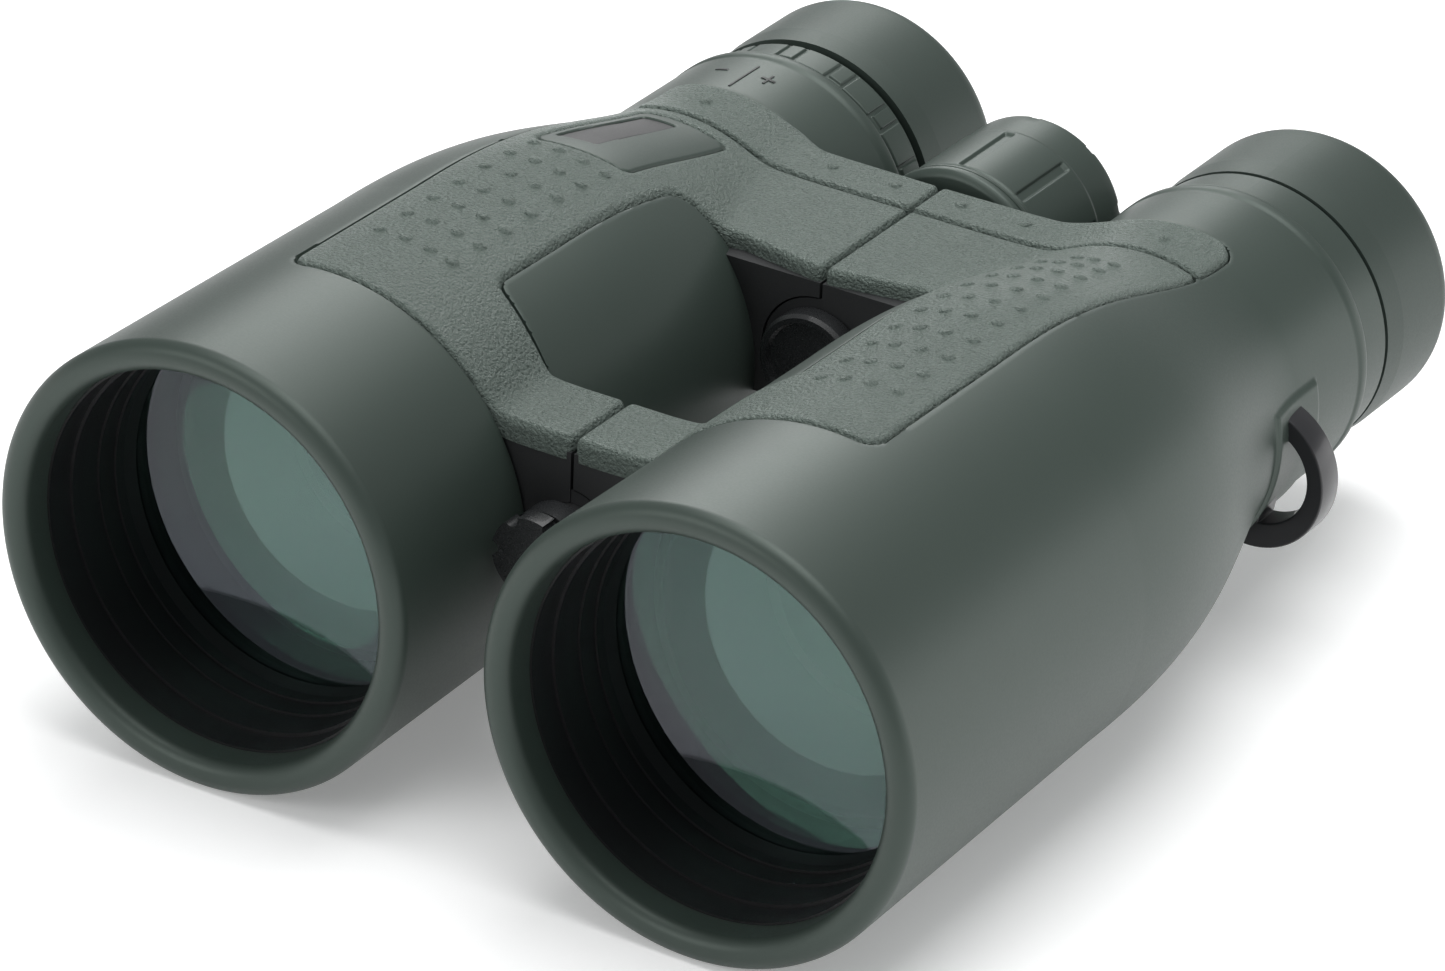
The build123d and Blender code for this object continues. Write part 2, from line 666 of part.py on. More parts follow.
# Focus screw, turned by the wheel inside the hinge tube
with BuildPart() as focus_screw:
    revolve(tube_section(0, 105.0, 161.0, 0, 1.5, HINGE_RISE), axis=centre_axis)
focus_screw.part.label = "focus_screw"
export_step(focus_screw.part, "parts/focus_screw.step")

# Focus wheel hub: runs on the rear end of the hinge tube and carries the front rim
WHEEL_START = 138.4
WHEEL_END = 165.4
GRIP_START = 141.6
GRIP_INNER = 12.6
with BuildPart() as wheel_hub:
    revolve(
        half_section(
            0,
            [
                (WHEEL_START, REAR_TUBE + RUNNING_FIT), (150.4, REAR_TUBE + RUNNING_FIT), (150.4, 1.5),
                (161.0, 1.5), (161.0, GRIP_INNER), (GRIP_START, GRIP_INNER), (GRIP_START, 15.4),
                (WHEEL_START + 1.2, 15.4), (WHEEL_START, 14.2),
            ],
            HINGE_RISE,
        ),
        axis=centre_axis,
    )
wheel_hub.part.label = "wheel_hub"
export_step(wheel_hub.part, "parts/wheel_hub.step")

# Rubber sleeve on the wheel, with long shallow finger grooves
with BuildPart() as wheel_grip:
    revolve(
        half_section(
            0,
            [
                (GRIP_START, GRIP_INNER), (WHEEL_END - 2.0, GRIP_INNER), (WHEEL_END, 12.0),
                (WHEEL_END, WHEEL_RADIUS - 1.2), (WHEEL_END - 1.2, WHEEL_RADIUS), (GRIP_START, WHEEL_RADIUS + 0.2),
            ],
            HINGE_RISE,
        ),
        axis=centre_axis,
    )
    with BuildSketch(cross_plane(0, WHEEL_END - 18.0, HINGE_RISE)):
        with PolarLocations(WHEEL_RADIUS + 0.4, 9):
            Rectangle(1.6, 0.8)
    extrude(amount=-19.0, mode=Mode.SUBTRACT)
wheel_grip.part.label = "wheel_grip"
export_step(wheel_grip.part, "parts/wheel_grip.step")

# Disc that closes the rear end of the wheel
with BuildPart() as wheel_cap:
    revolve(
        half_section(
            0, [(161.0, 0), (161.0, GRIP_INNER), (162.6, GRIP_INNER), (164.2, 10.0), (164.2, 0)], HINGE_RISE
        ),
        axis=centre_axis,
    )
wheel_cap.part.label = "wheel_cap"
export_step(wheel_cap.part, "parts/wheel_cap.step")
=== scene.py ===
import math

import bpy
import numpy as np
from mathutils import Matrix, Vector


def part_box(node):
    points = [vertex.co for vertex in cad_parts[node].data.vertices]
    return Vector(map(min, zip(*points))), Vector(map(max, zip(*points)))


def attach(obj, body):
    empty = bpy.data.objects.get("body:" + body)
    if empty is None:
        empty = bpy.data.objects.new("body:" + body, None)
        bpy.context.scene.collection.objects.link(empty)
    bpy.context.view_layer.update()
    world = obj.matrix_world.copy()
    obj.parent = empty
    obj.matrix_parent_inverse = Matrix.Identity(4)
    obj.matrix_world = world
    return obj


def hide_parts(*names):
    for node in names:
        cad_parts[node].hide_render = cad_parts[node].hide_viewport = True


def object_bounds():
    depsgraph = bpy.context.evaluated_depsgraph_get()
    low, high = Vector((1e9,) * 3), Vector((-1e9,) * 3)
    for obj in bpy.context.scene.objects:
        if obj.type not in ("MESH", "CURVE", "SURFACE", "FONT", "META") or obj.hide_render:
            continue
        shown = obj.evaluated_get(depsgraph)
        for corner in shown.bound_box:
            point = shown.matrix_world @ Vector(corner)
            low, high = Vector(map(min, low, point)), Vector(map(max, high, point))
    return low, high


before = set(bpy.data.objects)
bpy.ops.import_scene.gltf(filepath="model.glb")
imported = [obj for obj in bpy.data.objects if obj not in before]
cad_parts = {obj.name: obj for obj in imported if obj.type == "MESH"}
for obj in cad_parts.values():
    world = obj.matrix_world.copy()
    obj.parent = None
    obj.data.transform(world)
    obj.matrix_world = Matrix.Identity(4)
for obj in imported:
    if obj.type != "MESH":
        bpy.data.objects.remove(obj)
cad_low, cad_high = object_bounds()

# ---- Barrel armour ----
# Each barrel wears one skin of smooth grey-green rubber, moulded over the cast tube. It rolls over
# into a thick lip at the objective, sinks where the textured mouldings lie, and has a raised frame
# on its outer side where the strap lug comes through. The right one carries the dioptre marks.
front_edge = cad_low.y * 1000
axis_height = (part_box("front_lens_left")[0].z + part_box("front_lens_left")[1].z) * 500
objective_x = (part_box("front_lens_left")[0].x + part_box("front_lens_left")[1].x) * 500
eyepiece_x = (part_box("eye_lens_left")[0].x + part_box("eye_lens_left")[1].x) * 500
SIDES = ((-1, "right"), (1, "left"))
FULL_RADIUS = 35.0
WAIST_RADIUS = 33.9
EYEPIECE_RADIUS = 23.9
TAPER = (66.0, 132.0)
SHIFT_START = 92.0
SHIFT_LENGTH = 40.0
LIP = 2.35
ARMOUR_END = 153.0
GROOVE = 0.32
GROOVE_DEPTH = 1.3
LUG_FRAME = (130.0, -6.8, 6.9, 12.3)


def ease(t):
    t = np.clip(t, 0.0, 1.0)
    return t * t * (3 - 2 * t)


def skin_radius(station):
    """Radius of the rubber skin, in millimetres, at a distance behind the objective rim."""
    cone = FULL_RADIUS - (FULL_RADIUS - WAIST_RADIUS) * np.minimum(station, TAPER[0]) / TAPER[0]
    along = np.maximum(station - TAPER[0], 0) / (TAPER[1] - TAPER[0])
    return cone - (WAIST_RADIUS - EYEPIECE_RADIUS) * ease(along**1.4)


def skin_x(station):
    """Distance of the barrel's axis from the middle of the binoculars."""
    return objective_x - (objective_x - eyepiece_x) * ease((station - SHIFT_START) / SHIFT_LENGTH)


def rounded(corners):
    """Closed outline through (x, station, radius) corners, with an arc at each."""
    line = []
    for index, (x, station, radius) in enumerate(corners):
        corner = Vector((x, station))
        before = Vector(corners[index - 1][:2]) - corner
        after = Vector(corners[(index + 1) % len(corners)][:2]) - corner
        half = before.angle(after) / 2
        cut = min(radius / math.tan(half), 0.45 * before.length, 0.45 * after.length)
        middle = (before.normalized() + after.normalized()).normalized()
        centre = corner + middle * cut / math.cos(half)
        first = corner + before.normalized() * cut - centre
        last = corner + after.normalized() * cut - centre
        turn = math.atan2(first.x * last.y - first.y * last.x, first.dot(last))
        for step in range(9):
            angle = turn * step / 8
            line.append(
                (
                    centre.x + first.x * math.cos(angle) - first.y * math.sin(angle),
                    centre.y + first.x * math.sin(angle) + first.y * math.cos(angle),
                )
            )
    return np.array(line)


def edge_gap(points, outline):
    """Distance of plan points from an outline, negative inside, and the nearest outline points."""
    best = np.full(len(points), 1e9)
    nearest = np.zeros((len(points), 2))
    inside = np.zeros(len(points), bool)
    for start, end in zip(outline, np.roll(outline, -1, axis=0)):
        run = end - start
        if run @ run < 1e-9:
            continue
        share = np.clip((points - start) @ run / (run @ run), 0, 1)
        foot = start + share[:, None] * run
        gap = np.hypot(points[:, 0] - foot[:, 0], points[:, 1] - foot[:, 1])
        closer = gap < best
        best[closer] = gap[closer]
        nearest[closer] = foot[closer]
        if abs(run[1]) > 1e-9:
            spans = (start[1] > points[:, 1]) != (end[1] > points[:, 1])
            crossing = start[0] + (points[:, 1] - start[1]) * run[0] / run[1]
            inside ^= spans & (points[:, 0] < crossing)
    return np.where(inside, -best, best), nearest


def ring_faces(rows, columns):
    """Quads of a closed tube of rows, facing outwards."""
    row = np.arange(rows - 1)[:, None] * columns
    column = np.arange(columns)[None, :]
    beside = (column + 1) % columns
    quads = np.stack(
        [row + column, row + column + columns, row + beside + columns, row + beside], -1
    )
    return quads.reshape(-1, 4).tolist()


def make_piece(name, points, faces, side, material, body, nodes=(), crease=40):
    """Object from (distance from the middle, station, rise) points; side -1 mirrors it."""
    points = np.array(points, float)
    place = np.column_stack(
        (side * points[:, 0], front_edge + points[:, 1], axis_height + points[:, 2])
    )
    if side < 0:
        faces = [face[::-1] for face in faces]
    mesh = bpy.data.meshes.new(name)
    mesh.from_pydata((place / 1000).tolist(), [], faces)
    mesh.validate()
    mesh.shade_smooth()
    mesh.set_sharp_from_angle(angle=math.radians(crease))
    mesh.materials.append(material)
    piece = bpy.data.objects.new(name, mesh)
    bpy.context.scene.collection.objects.link(piece)
    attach(piece, body)
    if nodes:
        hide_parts(*nodes)
    return piece


def finish_of(
    name, colour, roughness, grain, depth, pebbles=0.0, metal=0.0, turned=0.0, spread=0.1, **sockets
):
    """Moulded, cast or turned surface: grain and pebbles are feature sizes in millimetres."""
    material = bpy.data.materials.new(name)
    material.use_nodes = True
    nodes, links = material.node_tree.nodes, material.node_tree.links
    shader = nodes["Principled BSDF"]
    shader.inputs["Metallic"].default_value = metal
    for socket, value in sockets.items():
        shader.inputs[socket.replace("_", " ")].default_value = value
    place = nodes.new("ShaderNodeTexCoord").outputs["Object"]
    broad = nodes.new("ShaderNodeTexNoise")
    broad.inputs["Scale"].default_value = 55.0
    broad.inputs["Detail"].default_value = 5.0
    fine = nodes.new("ShaderNodeTexNoise")
    fine.inputs["Scale"].default_value = 1000.0 / grain
    fine.inputs["Detail"].default_value = 3.0
    links.new(place, broad.inputs["Vector"])
    links.new(place, fine.inputs["Vector"])
    tint = nodes.new("ShaderNodeMix")
    tint.data_type = "RGBA"
    tint.inputs["A"].default_value = (*[c * (1 - spread) for c in colour], 1)
    tint.inputs["B"].default_value = (*[c * (1 + spread) for c in colour], 1)
    links.new(broad.outputs["Fac"], tint.inputs["Factor"])
    links.new(tint.outputs["Result"], shader.inputs["Base Color"])
    gloss = nodes.new("ShaderNodeMapRange")
    gloss.inputs["From Min"].default_value = 0.3
    gloss.inputs["From Max"].default_value = 0.7
    gloss.inputs["To Min"].default_value = roughness * 0.93
    gloss.inputs["To Max"].default_value = min(roughness * 1.07, 1.0)
    links.new(fine.outputs["Fac"], gloss.inputs["Value"])
    links.new(gloss.outputs["Result"], shader.inputs["Roughness"])
    bump = nodes.new("ShaderNodeBump")
    bump.inputs["Distance"].default_value = depth / 1000
    height = fine.outputs["Fac"]
    if pebbles:
        cells = nodes.new("ShaderNodeTexVoronoi")
        cells.feature = "SMOOTH_F1"
        cells.inputs["Scale"].default_value = 1000.0 / pebbles
        cells.inputs["Smoothness"].default_value = 0.6
        wander = nodes.new("ShaderNodeVectorMath")
        wander.operation = "MULTIPLY_ADD"
        wander.inputs[1].default_value = (pebbles / 1100,) * 3
        links.new(fine.outputs["Color"], wander.inputs[0])
        links.new(place, wander.inputs[2])
        links.new(wander.outputs["Vector"], cells.inputs["Vector"])
        mixed = nodes.new("ShaderNodeMath")
        mixed.operation = "SUBTRACT"
        links.new(fine.outputs["Fac"], mixed.inputs[0])
        links.new(cells.outputs["Distance"], mixed.inputs[1])
        height = mixed.outputs["Value"]
    if turned:
        lines = nodes.new("ShaderNodeTexWave")
        lines.bands_direction = "Y"
        lines.inputs["Scale"].default_value = 1000.0 / turned / 20
        lines.inputs["Distortion"].default_value = 0.4
        links.new(place, lines.inputs["Vector"])
        summed = nodes.new("ShaderNodeMath")
        summed.operation = "ADD"
        links.new(lines.outputs["Fac"], summed.inputs[0])
        links.new(height, summed.inputs[1])
        height = summed.outputs["Value"]
    links.new(height, bump.inputs["Height"])
    links.new(bump.outputs["Normal"], shader.inputs["Normal"])
    return material


RUBBER_GREEN = (0.029, 0.0405, 0.0345)
GREEN_SHEEN = (0.88, 1.0, 0.93, 1)
smooth_rubber = finish_of(
    "smooth_rubber", RUBBER_GREEN, 0.44, 0.35, 0.006, spread=0.05, Specular_Tint=GREEN_SHEEN
)

PAD_CORNERS = [
    (49.0, 33.2, 3.0),
    (49.0, 124.84, 1.0),
    (0.25, 124.84, 0.5),
    (0.25, 100.0, 1.2),
    (15.5, 102.8, 4.0),
    (25.2, 99.8, 5.0),
    (25.2, 51.5, 2.4),
    (13.0, 47.9, 3.0),
    (0.25, 47.9, 1.2),
    (0.25, 33.2, 1.2),
]
STRIP_CORNERS = [
    (49.0, 125.16, 1.0),
    (49.0, 137.0, 3.5),
    (26.0, 137.0, 6.0),
    (21.0, 134.5, 6.0),
    (0.25, 134.3, 1.0),
    (0.25, 125.16, 0.5),
]
pad_outline = rounded(PAD_CORNERS)
strip_outline = rounded(STRIP_CORNERS)

lip_arc = [
    (LIP - LIP * math.sin(turn), FULL_RADIUS - LIP - LIP * math.cos(turn))
    for turn in np.linspace(0, math.pi, 19)
]
profile = [(7.0, FULL_RADIUS - 2 * LIP), (4.2, FULL_RADIUS - 2 * LIP), *lip_arc[:-1]]
rows = [*np.arange(LIP, 31, 1.2), *np.arange(31.6, 140, 0.36), *np.arange(140.2, 150.3, 0.8)]
for station in rows:
    profile.append((station, float(skin_radius(station))))
END_BAND = (
    (150.5, 0),
    (150.7, 0.16),
    (152.3, 0.16),
    (152.7, 0.05),
    (152.93, -0.15),
    (153.0, -0.45),
)
for station, step in END_BAND:
    profile.append((station, EYEPIECE_RADIUS + step - 0.02))
profile.append((ARMOUR_END, 19.7))
profile = np.array(profile)
COLUMNS = 480
angles = np.linspace(0, 2 * math.pi, COLUMNS, endpoint=False)

stations = np.repeat(profile[:, 0], COLUMNS)
radii = np.repeat(profile[:, 1], COLUMNS)
turns = np.tile(angles, len(profile))
across = skin_x(stations) + radii * np.cos(turns)
rises = radii * np.sin(turns)
# The skin sinks under the mouldings, with the edge of the sunk part drawn exactly round them
near = np.nonzero((stations > 31) & (stations < 140) & (rises > 4) & (across < 51.5))[0]
plan = np.column_stack((across[near], stations[near]))
gap, edge = edge_gap(plan, pad_outline)
strip_gap, strip_edge = edge_gap(plan, strip_outline)
closer = strip_gap < gap
gap = np.where(closer, strip_gap, gap)
edge = np.where(closer[:, None], strip_edge, edge)
outward = (plan - edge) / np.where(np.abs(gap) < 1e-6, 1e-6, gap)[:, None]
level = gap - GROOVE
drawn = np.abs(level) < 0.19
plan[drawn] = edge[drawn] + outward[drawn] * GROOVE
sink = np.where(drawn, 0.1, np.where(level < 0, GROOVE_DEPTH, 0.0))
offset = plan[:, 0] - skin_x(plan[:, 1])
across[near] = plan[:, 0]
stations[near] = plan[:, 1]
rises[near] = np.sqrt(np.maximum((skin_radius(plan[:, 1]) - sink) ** 2 - offset**2, 0))
# Raised frame round the strap lug, on the outer side only
station_out = np.abs(stations - LUG_FRAME[0]) - LUG_FRAME[2]
rise_out = np.abs(rises - LUG_FRAME[1]) - LUG_FRAME[3]
frame_gap = np.maximum(station_out, rise_out)
outer = (across > skin_x(stations)) & (stations > 100)
lift = np.where(outer, 0.75 * ease((0.5 - frame_gap) / 0.9), 0.0)
across += lift
for side, tag in SIDES:
    points = np.column_stack((across, stations, rises))
    make_piece(
        f"armour_skin_{tag}",
        points,
        ring_faces(len(profile), COLUMNS),
        side,
        smooth_rubber,
        f"barrel_{tag}",
        (f"armour_{tag}",),
        crease=50,
    )


def curved_bar(first, last, angle, width):
    """Low bar on the eyepiece end of the skin, between two stations, its width round the barrel."""
    points, faces = [], []
    reach = math.degrees(width / EYEPIECE_RADIUS) / 2
    for row, station in enumerate((first, first, last, last)):
        low = row in (0, 3)
        for column in range(7):
            turn = math.radians(angle - reach + reach * column / 3)
            sunk = low or column in (0, 6)
            radius = EYEPIECE_RADIUS + (-0.2 if sunk else 0.14)
            points.append((eyepiece_x + radius * math.cos(turn), station, radius * math.sin(turn)))
            if row and column:
                here = row * 7 + column
                faces.append((here, here - 1, here - 8, here - 7))
    return points, faces


marks, mark_faces = [], []
for first, last, angle, width in (
    (144.2, 144.7, 76.5, 3.0),
    (138.8, 147.4, 88.0, 0.45),
    (144.2, 144.7, 96.5, 3.2),
    (142.9, 146.0, 96.5, 0.5),
):
    bar, bar_faces = curved_bar(first, last, angle, width)
    mark_faces += [tuple(index + len(marks) for index in face) for face in bar_faces]
    marks += bar
mark_rubber = finish_of("mark_rubber", (0.014, 0.017, 0.016), 0.55, 0.3, 0.005, spread=0.05)
make_piece("dioptre_marks", marks, mark_faces, -1, mark_rubber, "barrel_right")

# ---- Textured grip pads ----
# A pebbled moulding of the same rubber is bonded over the top of each barrel and both bridge arms.
# It has rounded edges, rows of low domes for the fingers, and stands in a narrow dark groove.
BRIDGE_TOP = 20.0
FILLET = 1.9
PAD_STEP = 0.33


def top_height(across, station):
    """Height above the optical axes of the barrel and bridge together, blended where they meet."""
    barrel = np.sqrt(np.maximum(skin_radius(station) ** 2 - (across - skin_x(station)) ** 2, 0))
    return (barrel + BRIDGE_TOP + np.sqrt((barrel - BRIDGE_TOP) ** 2 + FILLET**2)) / 2


def moulded_top(outline, holes, proud, round_over, skirt, step=PAD_STEP):
    """Points and faces of a moulding laid over the barrel, with rounded edges and short sides."""
    across = np.arange(outline[:, 0].min() - step, outline[:, 0].max() + 2 * step, step)
    along = np.arange(outline[:, 1].min() - step, outline[:, 1].max() + 2 * step, step)
    grid = np.stack(np.meshgrid(across, along, indexing="ij"), -1).reshape(-1, 2)
    gap, edge = edge_gap(grid, outline)
    for hole in holes:
        hole_gap, hole_edge = edge_gap(grid, hole)
        nearer = -hole_gap > gap
        gap = np.where(nearer, -hole_gap, gap)
        edge = np.where(nearer[:, None], hole_edge, edge)
    kept = gap < step / 2
    drawn = kept & (gap > -step / 2)
    grid[drawn] = edge[drawn]
    gap[drawn] = 0
    inward = np.clip(round_over + gap, 0, round_over)
    drop = round_over - np.sqrt(np.maximum(round_over**2 - inward**2, 0))
    rise = top_height(grid[:, 0], grid[:, 1]) + proud - drop
    number = np.cumsum(kept) - 1
    points = np.column_stack((grid, rise))[kept].tolist()
    faces = []
    wide = len(along)
    corners = np.arange(len(grid)).reshape(len(across), wide)
    cells = np.stack([corners[:-1, :-1], corners[1:, :-1], corners[1:, 1:], corners[:-1, 1:]], -1)
    cells = cells.reshape(-1, 4)
    count = kept[cells].sum(1)
    for cell in cells[count >= 3].tolist():
        faces.append([int(number[corner]) for corner in cell if kept[corner]])
    sides = {}
    for face in faces:
        for index, corner in enumerate(face):
            sides[(face[index - 1], corner)] = True
    rim = [(a, b) for a, b in sides if (b, a) not in sides]
    below = {}
    for corner in sorted({corner for pair in rim for corner in pair}):
        x, station, height = points[corner]
        below[corner] = len(points)
        points.append([x, station, height - skirt])
    faces += [[b, a, below[a], below[b]] for a, b in rim]
    return points, faces


def add_domes(points, faces, places, proud, radius=1.05, height=0.5):
    """Low round domes that stand on the moulding at (distance from the middle, station) places."""
    sectors = 16
    rings = ((1.15, -0.12), (1.0, 0.12), (0.88, 0.42), (0.62, 0.78), (0.32, 0.96))
    for x, station in places:
        first = len(points)
        for ring, (share, tall) in enumerate(rings):
            for sector in range(sectors):
                turn = 2 * math.pi * sector / sectors
                a = x + radius * share * math.cos(turn)
                b = station + radius * share * math.sin(turn)
                points.append([a, b, float(top_height(a, b)) + proud + height * tall])
                if ring:
                    here = first + ring * sectors + sector
                    beside = first + ring * sectors + (sector + 1) % sectors
                    faces.append([here - sectors, beside - sectors, beside, here])
        points.append([x, station, float(top_height(x, station)) + proud + height])
        last = first + (len(rings) - 1) * sectors
        for sector in range(sectors):
            faces.append([last + sector, last + (sector + 1) % sectors, len(points) - 1])


PLATE_CORNERS = [(45.2, 91.0, 1.6), (45.2, 121.2, 1.2), (30.2, 121.2, 1.2), (30.2, 93.5, 1.6)]
plate_outline = rounded(PLATE_CORNERS)
DOME_ROWS = (43.6, 39.2, 34.9, 31.0)
DOME_STATIONS = (48.6, 55.5, 62.2, 68.9, 75.8, 82.4, 88.8, 95.3, 102.0, 108.5, 114.0)
PAD_PROUD = 0.2
textured_rubber = finish_of(
    "textured_rubber",
    (0.096, 0.12, 0.107),
    0.36,
    0.25,
    0.42,
    pebbles=0.55,
    spread=0.08,
    Specular_Tint=GREEN_SHEEN,
)
for side, tag in SIDES:
    holes = [plate_outline] if tag == "right" else []
    points, faces = moulded_top(pad_outline, holes, PAD_PROUD, 1.1, 2.6)
    places = []
    for station in DOME_STATIONS:
        for row, distance in enumerate(DOME_ROWS):
            drift = max(station - 88, 0) * (0.10, 0.06, 0.0, -0.05)[row]
            if tag == "right" and station > 90:
                continue
            if row == 3 and station > 109:
                continue
            places.append((distance - drift, station))
    add_domes(points, faces, places, PAD_PROUD)
    make_piece(
        f"grip_moulding_{tag}",
        points,
        faces,
        side,
        textured_rubber,
        f"barrel_{tag}",
        (f"grip_pad_{tag}",),
        crease=60,
    )

# ---- Rear strips ----
# A narrower strip of the pebbled rubber covers the screws at the back of the bridge, behind a thin
# joint line. It stands a little proud of the smooth eyepiece skin and has three domes of its own.
STRIP_PROUD = 0.35
for side, tag in SIDES:
    points, faces = moulded_top(strip_outline, [], STRIP_PROUD, 0.8, 2.6)
    add_domes(points, faces, [(5.8, 130.3), (16.8, 130.3), (40.0, 131.0)], STRIP_PROUD)
    make_piece(
        f"rear_strip_{tag}",
        points,
        faces,
        side,
        textured_rubber,
        f"barrel_{tag}",
        (f"rear_cover_{tag}",),
        crease=60,
    )

# ---- Plate and badge ----
# The right moulding has a smooth plate let into it with a plain black badge in the plate. Both are
# thin plastic pieces glued in, and both are left blank here.
BADGE_CORNERS = [(44.0, 95.2, 0.5), (43.6, 118.8, 0.5), (37.6, 118.8, 0.5), (37.9, 97.0, 0.5)]
badge_outline = rounded(BADGE_CORNERS)
plate_rubber = finish_of(
    "plate_rubber", RUBBER_GREEN, 0.4, 0.3, 0.004, spread=0.03, Specular_Tint=GREEN_SHEEN
)
points, faces = moulded_top(plate_outline, [badge_outline], 0.0, 0.25, 1.6, 0.25)
make_piece(
    "name_plate_blank",
    points,
    faces,
    -1,
    plate_rubber,
    "barrel_right",
    ("name_plate",),
)
badge_black = finish_of(
    "badge_black", (0.006, 0.0065, 0.007), 0.42, 0.25, 0.002, spread=0.2, Coat_Weight=0.04
)
points, faces = moulded_top(badge_outline, [], -0.25, 0.1, 1.0, 0.25)
make_piece("badge_blank", points, faces, -1, badge_black, "barrel_right", ("badge",))

# ---- Cast chassis and bridges ----
# The barrel tubes and the two bridge arms are light-alloy castings with a matt black powder coat.
# Only the arms' side faces and the hinge knuckles show between the rubber mouldings.
def paint(node, material):
    """Gives a CAD node its material."""
    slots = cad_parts[node].data.materials
    slots.clear()
    slots.append(material)


powder_black = finish_of("powder_black", (0.014, 0.015, 0.016), 0.62, 0.22, 0.02, spread=0.15)
for side, tag in SIDES:
    for part in ("chassis", "front_bridge", "rear_bridge"):
        paint(f"{part}_{tag}", powder_black)

# ---- Objective cells ----
# Each objective sits in a turned aluminium cell, anodised matt black, with fine tool lines inside
# to stop stray light. A rubber seal lies in its outer groove and a threaded ring holds the glass.
cell_black = finish_of(
    "cell_black", (0.007, 0.007, 0.008), 0.45, 0.3, 0.012, turned=0.55, metal=0.1, spread=0.12
)
seal_black = finish_of("seal_black", (0.012, 0.012, 0.012), 0.6, 0.3, 0.01)
for side, tag in SIDES:
    for part, material in (
        ("objective_cell", cell_black),
        ("retaining_ring", cell_black),
        ("objective_seal", seal_black),
    ):
        paint(f"{part}_{tag}", material)


# ---- Objective lenses ----
# Two ground glass elements fill each cell. The coated front face of each gives back a little green
# light and the curved rear face of the first one violet light, over the black inside.
def coated_glass(name, front, rear, strength, border):
    """Clear element: its front and rear faces, before and behind a station, reflect two colours."""
    material = bpy.data.materials.new(name)
    material.use_nodes = True
    nodes, links = material.node_tree.nodes, material.node_tree.links
    nodes.remove(nodes["Principled BSDF"])
    place = nodes.new("ShaderNodeTexCoord").outputs["Object"]
    film = nodes.new("ShaderNodeTexNoise")
    film.inputs["Scale"].default_value = 18.0
    film.inputs["Detail"].default_value = 1.0
    links.new(place, film.inputs["Vector"])
    axes = nodes.new("ShaderNodeSeparateXYZ")
    links.new(place, axes.inputs["Vector"])
    behind = nodes.new("ShaderNodeMath")
    behind.operation = "GREATER_THAN"
    behind.inputs[1].default_value = (front_edge + border) / 1000
    links.new(axes.outputs["Y"], behind.inputs[0])
    layer = nodes.new("ShaderNodeMix")
    layer.data_type = "RGBA"
    layer.inputs["A"].default_value = (*front, 1)
    layer.inputs["B"].default_value = (*rear, 1)
    links.new(behind.outputs["Value"], layer.inputs["Factor"])
    uneven = nodes.new("ShaderNodeMix")
    uneven.data_type = "RGBA"
    uneven.blend_type = "MULTIPLY"
    uneven.inputs["Factor"].default_value = 0.15
    links.new(layer.outputs["Result"], uneven.inputs["A"])
    links.new(film.outputs["Color"], uneven.inputs["B"])
    mirror = nodes.new("ShaderNodeBsdfGlossy")
    mirror.inputs["Roughness"].default_value = 0.012
    links.new(uneven.outputs["Result"], mirror.inputs["Color"])
    clear = nodes.new("ShaderNodeBsdfTransparent")
    clear.inputs["Color"].default_value = (0.97, 0.985, 0.98, 1)
    slope = nodes.new("ShaderNodeLayerWeight")
    grazing = nodes.new("ShaderNodeMath")
    grazing.operation = "POWER"
    grazing.inputs[1].default_value = 5.0
    links.new(slope.outputs["Facing"], grazing.inputs[0])
    share = nodes.new("ShaderNodeMath")
    share.operation = "MULTIPLY_ADD"
    share.use_clamp = True
    share.inputs[1].default_value = 1 - strength
    share.inputs[2].default_value = strength
    links.new(grazing.outputs["Value"], share.inputs[0])
    blend = nodes.new("ShaderNodeMixShader")
    links.new(share.outputs["Value"], blend.inputs["Fac"])
    links.new(clear.outputs["BSDF"], blend.inputs[1])
    links.new(mirror.outputs["BSDF"], blend.inputs[2])
    links.new(blend.outputs["Shader"], nodes["Material Output"].inputs["Surface"])
    return material


LENS_EDGE = 28.9
LENS_RINGS = [0.02, *np.linspace(1, LENS_EDGE, 29)]


def lens_piece(name, side, tag, front, rear, material, node):
    """Round element from the (vertex, edge) stations of its two ground faces."""
    sagitta = [(station[1] - station[0]) / LENS_EDGE**2 for station in (front, rear)]
    faces = [(radius, front[0] + sagitta[0] * radius**2) for radius in LENS_RINGS]
    faces += [(radius, rear[0] + sagitta[1] * radius**2) for radius in LENS_RINGS[::-1]]
    columns = 128
    turn = np.tile(np.linspace(0, 2 * math.pi, columns, endpoint=False), len(faces))
    radius = np.repeat([ring[0] for ring in faces], columns)
    station = np.repeat([ring[1] for ring in faces], columns)
    points = np.column_stack(
        (objective_x + radius * np.cos(turn), station, radius * np.sin(turn))
    )
    make_piece(
        f"{name}_{tag}",
        points,
        ring_faces(len(faces), columns),
        side,
        material,
        f"barrel_{tag}",
        (f"{node}_{tag}",),
    )


VIOLET = (0.68, 0.70, 0.80)
front_coat = coated_glass("front_coat", (0.36, 0.6, 0.54), VIOLET, 0.095, 26.5)
green_coat = coated_glass("green_coat", (0.3, 0.85, 0.58), (0.1, 0.1, 0.12), 0.06, 34.2)
dim_coat = coated_glass("dim_coat", VIOLET, VIOLET, 0.006, 32.0)
for side, tag in SIDES:
    lens_piece("front_glass", side, tag, (21.4, 25.0), (33.0, 27.4), front_coat, "front_lens")
    lens_piece("second_glass", side, tag, (33.4, 28.7), (37.2, 35.2), green_coat, "second_lens")
    for part in ("focus_lens", "first_prism", "roof_prism", "field_lens", "eye_lens"):
        paint(f"{part}_{tag}", dim_coat)

